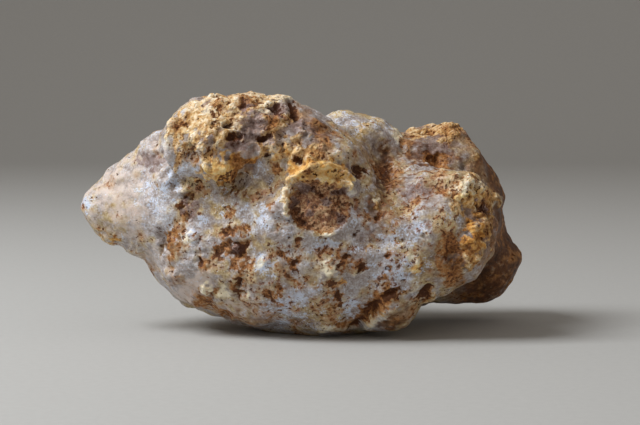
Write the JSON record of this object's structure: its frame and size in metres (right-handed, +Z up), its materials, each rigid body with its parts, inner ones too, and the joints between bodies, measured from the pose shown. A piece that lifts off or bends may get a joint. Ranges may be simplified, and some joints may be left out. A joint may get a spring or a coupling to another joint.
{
  "type": "picacho agate",
  "caption": "Rough natural nodule of pale bluish agate with ochre crust, rust-brown pits and a rust-filled socket, lying on its worn flat side as a hand-size display stone.",
  "frame": {"origin": "on the surface the stone lies on, under the middle of its box", "axes": "+X along the stone's length, from the pale tip to the rear lobe; +Y away from the side the picture shows; +Z up"},
  "size_m": [0.0676, 0.037, 0.0361],
  "materials": {
    "agate": "frosted"
  },
  "bodies": {
    "root": {"agate": "agate"}
  },
  "joints": []
}
